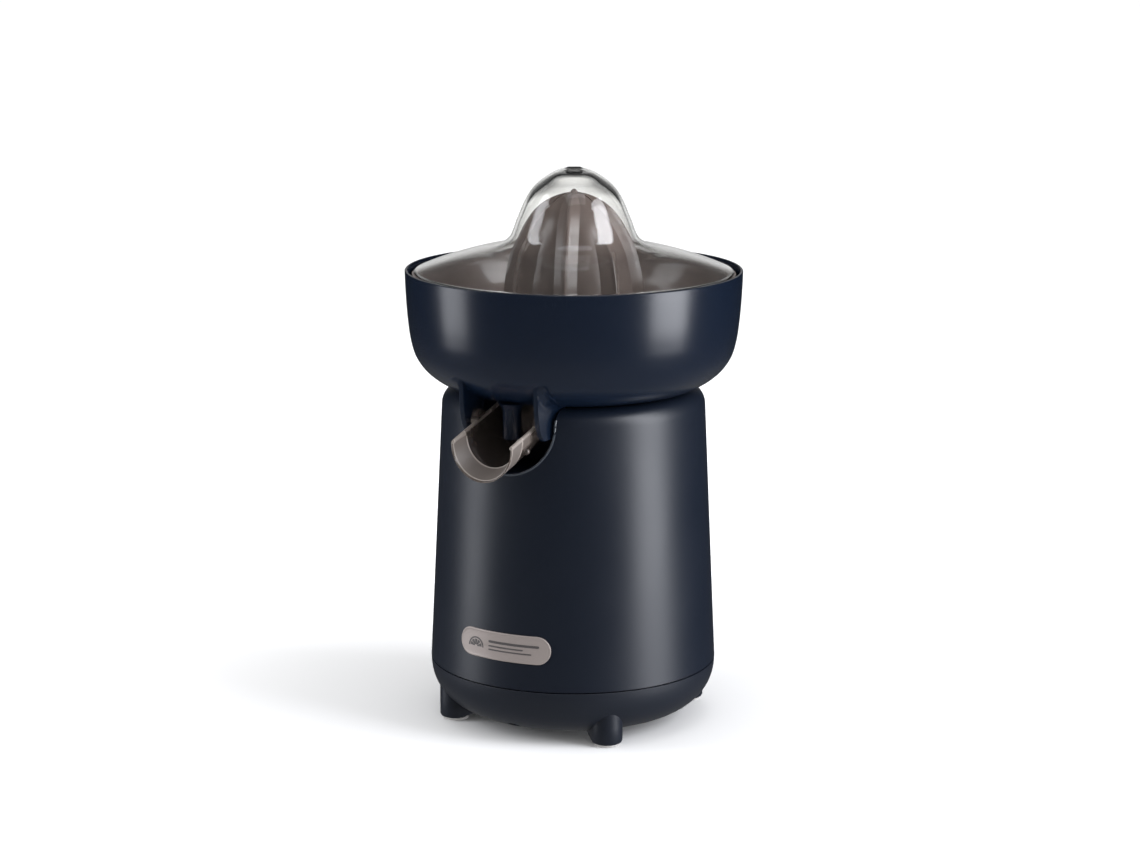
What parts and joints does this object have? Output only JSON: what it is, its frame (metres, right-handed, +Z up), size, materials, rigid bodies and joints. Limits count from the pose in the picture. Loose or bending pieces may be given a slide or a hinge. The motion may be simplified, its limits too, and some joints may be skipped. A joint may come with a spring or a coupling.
{
  "type": "citrus press juicer",
  "caption": "Electric citrus press: ribbed cone under a clear cover, strainer in a wide collector bowl, tipping spout, geared motor in a tapered drum body on legs.",
  "frame": {"origin": "on the axis of the cone, in the plane that the foot pads stand on", "axes": "+Z up along the axis of the cone, -Y towards the spout, +X to the right of someone facing the spout's side"},
  "size_m": [0.172, 0.1778, 0.2849],
  "materials": {
    "navy_plastic": "satin moulded",
    "navy_gloss": "soft gloss",
    "dark_shell": "fine matte",
    "taupe_gloss": "gloss",
    "taupe_plastic": "soft gloss",
    "taupe_clear": "gloss, smoky",
    "clear_plastic": "clear",
    "badge_satin": "satin",
    "pad_rubber": "matte",
    "black_rubber": "matte",
    "zinc_steel": "zinc plated",
    "ground_steel": "ground",
    "lamination_steel": "stacked sheet",
    "copper_winding": "enamelled wire",
    "sintered_bronze": "sintered",
    "nylon_white": "moulded",
    "nylon_black": "moulded"
  },
  "bodies": {
    "housing": {"base_shell": "dark_shell", "body_shell": "navy_plastic", "foot_pad_1": "pad_rubber", "foot_pad_2": "pad_rubber", "foot_pad_3": "pad_rubber", "foot_pad_4": "pad_rubber", "badge": "badge_satin", "cord_inlet": "black_rubber", "casing_screws": "zinc_steel", "terminal_block": "nylon_white", "gearbox_housing": "nylon_black", "gearbox_cover": "nylon_black", "gearbox_screws": "zinc_steel", "gear_pin": "ground_steel", "motor_stator": "lamination_steel", "motor_coil": "copper_winding", "upper_bearing_bracket": "zinc_steel", "lower_bearing_bracket": "zinc_steel", "motor_screws": "zinc_steel", "spindle_bush": "sintered_bronze", "shaft_seal": "black_rubber", "microswitch": "nylon_black"},
    "rotor": {"rotor_core": "lamination_steel", "rotor_shaft": "ground_steel", "motor_pinion": "sintered_bronze"},
    "compound_gear": {"compound_gear": "nylon_white"},
    "output_gear": {"output_gear": "nylon_white", "return_spring": "ground_steel"},
    "spindle": {"spindle": "ground_steel", "spindle_clip": "zinc_steel"},
    "switch_lever": {"switch_lever": "nylon_white"},
    "bowl": {"collector_bowl": "navy_gloss"},
    "spout": {"spout": "taupe_clear"},
    "strainer": {"strainer": "taupe_plastic"},
    "drive_sleeve": {"drive_sleeve": "nylon_white"},
    "cone": {"cone": "taupe_gloss"},
    "dust_cover": {"dust_cover": "clear_plastic"}
  },
  "joints": [
    {"name": "rotor_spin", "type": "hinge", "parent": "housing", "child": "rotor", "pos_m": [0.012, 0.018, 0.054], "axis": [0, 0, 1], "continuous": true},
    {"name": "compound_spin", "type": "hinge", "parent": "housing", "child": "compound_gear", "pos_m": [0.036, 0, 0.1], "axis": [0, 0, 1], "continuous": true},
    {"name": "output_spin", "type": "hinge", "parent": "housing", "child": "output_gear", "pos_m": [0, 0, 0.111], "axis": [0, 0, 1], "continuous": true},
    {"name": "spindle_press", "type": "slide", "parent": "output_gear", "child": "spindle", "axis": [0, 0, -1], "range_m": [0, 0.003], "deforming": ["return_spring"]},
    {"name": "switch_tip", "type": "hinge", "parent": "housing", "child": "switch_lever", "pos_m": [-0.0135, 0, 0.082], "axis": [0, 1, 0], "range_deg": [0, 12.5]},
    {"name": "bowl_lift", "type": "slide", "parent": "housing", "child": "bowl", "axis": [0, 0, 1], "range_m": [0, 0.06]},
    {"name": "spout_tilt", "type": "hinge", "parent": "bowl", "child": "spout", "pos_m": [0, -0.065, 0.1665], "axis": [-1, 0, 0], "range_deg": [0, 28]},
    {"name": "strainer_lift", "type": "slide", "parent": "bowl", "child": "strainer", "axis": [0, 0, 1], "range_m": [0, 0.05]},
    {"name": "cone_spin", "type": "hinge", "parent": "strainer", "child": "drive_sleeve", "pos_m": [0, 0, 0.222], "axis": [0, 0, 1], "continuous": true},
    {"name": "cone_press", "type": "slide", "parent": "drive_sleeve", "child": "cone", "axis": [0, 0, -1], "range_m": [0, 0.003], "stiffness_N_per_m": 1500, "springref_m": -0.004},
    {"name": "cover_lift", "type": "slide", "parent": "strainer", "child": "dust_cover", "axis": [0, 0, 1], "range_m": [0, 0.08]}
  ],
  "couplings": [
    {"joint": "compound_spin", "follows": "rotor_spin", "ratio": -0.2},
    {"joint": "output_spin", "follows": "rotor_spin", "ratio": 0.04},
    {"joint": "cone_spin", "follows": "rotor_spin", "ratio": 0.04},
    {"joint": "spindle_press", "follows": "cone_press", "ratio": 1},
    {"joint": "switch_tip", "follows": "cone_press", "rad_per_m": 71.4}
  ]
}
